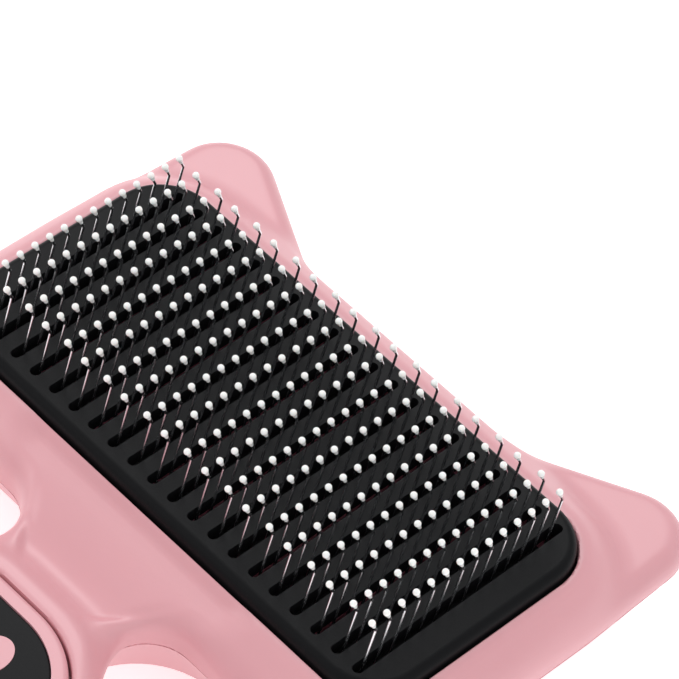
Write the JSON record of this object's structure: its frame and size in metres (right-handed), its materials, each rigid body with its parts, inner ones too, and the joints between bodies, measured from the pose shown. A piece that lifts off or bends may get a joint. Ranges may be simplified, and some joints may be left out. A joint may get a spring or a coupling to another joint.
{
  "type": "slicker brush",
  "caption": "Self-cleaning pet slicker brush with a cat-ear head; a thumb button pulls the ball-tipped wire pins back through a slotted plate.",
  "frame": {"origin": "centre of the flat rest face under the head, below the middle of the face plate", "axes": "+X across the head, +Y from the handle to the ears, +Z the bristle side, away from the rest face"},
  "size_m": [0.1, 0.1839, 0.0331],
  "materials": {
    "pink_shell": "satin",
    "pink_button": "satin",
    "pink_carrier": "satin",
    "black_plate": "satin",
    "black_inlay": "satin",
    "black_pad": "matte",
    "black_retainer": "satin",
    "black_rubber": "matte",
    "white_plastic": "satin",
    "screw_steel": "satin",
    "pin_steel": "polished",
    "spring_steel": "polished",
    "pin_wire": "polished",
    "resin_tip": "glossy"
  },
  "bodies": {
    "housing": {"front_frame": "pink_shell", "back_shell": "pink_shell", "slotted_plate": "black_plate", "plate_screws": "screw_steel", "housing_screws": "screw_steel", "lever_pin": "pin_steel", "return_springs": "spring_steel", "thumb_grip": "black_rubber", "back_grip": "black_rubber"},
    "button": {"button_cap": "pink_button", "button_inlay": "black_inlay"},
    "lever": {"lever": "white_plastic"},
    "pin_bed": {"pin_carrier": "pink_carrier", "carrier_pads": "black_pad", "staple_retainer": "black_retainer", "retainer_screws": "screw_steel", "pin_staples_01": "pin_wire", "pin_staples_02": "pin_wire", "pin_staples_03": "pin_wire", "pin_staples_04": "pin_wire", "pin_staples_05": "pin_wire", "pin_staples_06": "pin_wire", "pin_staples_07": "pin_wire", "pin_staples_08": "pin_wire", "pin_staples_09": "pin_wire", "pin_staples_10": "pin_wire", "pin_tips_01": "resin_tip", "pin_tips_02": "resin_tip", "pin_tips_03": "resin_tip", "pin_tips_04": "resin_tip", "pin_tips_05": "resin_tip", "pin_tips_06": "resin_tip", "pin_tips_07": "resin_tip", "pin_tips_08": "resin_tip", "pin_tips_09": "resin_tip", "pin_tips_10": "resin_tip"}
  },
  "joints": [
    {"name": "button_press", "type": "slide", "parent": "housing", "child": "button", "axis": [0, 0, -1], "range_m": [0, 0.004], "stiffness_N_per_m": 1500, "springref_m": -0.002},
    {"name": "lever_swing", "type": "hinge", "parent": "housing", "child": "lever", "pos_m": [0, -0.088, 0.01247], "axis": [-1, 0, 0], "range_deg": [0, 8.2]},
    {"name": "pin_bed_retract", "type": "slide", "parent": "housing", "child": "pin_bed", "axis": [0, 0, -1], "range_m": [0, 0.00945], "deforming": ["return_springs"]}
  ],
  "couplings": [
    {"joint": "lever_swing", "follows": "button_press", "rad_per_m": 35.714},
    {"joint": "pin_bed_retract", "follows": "button_press", "ratio": 2.3554}
  ]
}
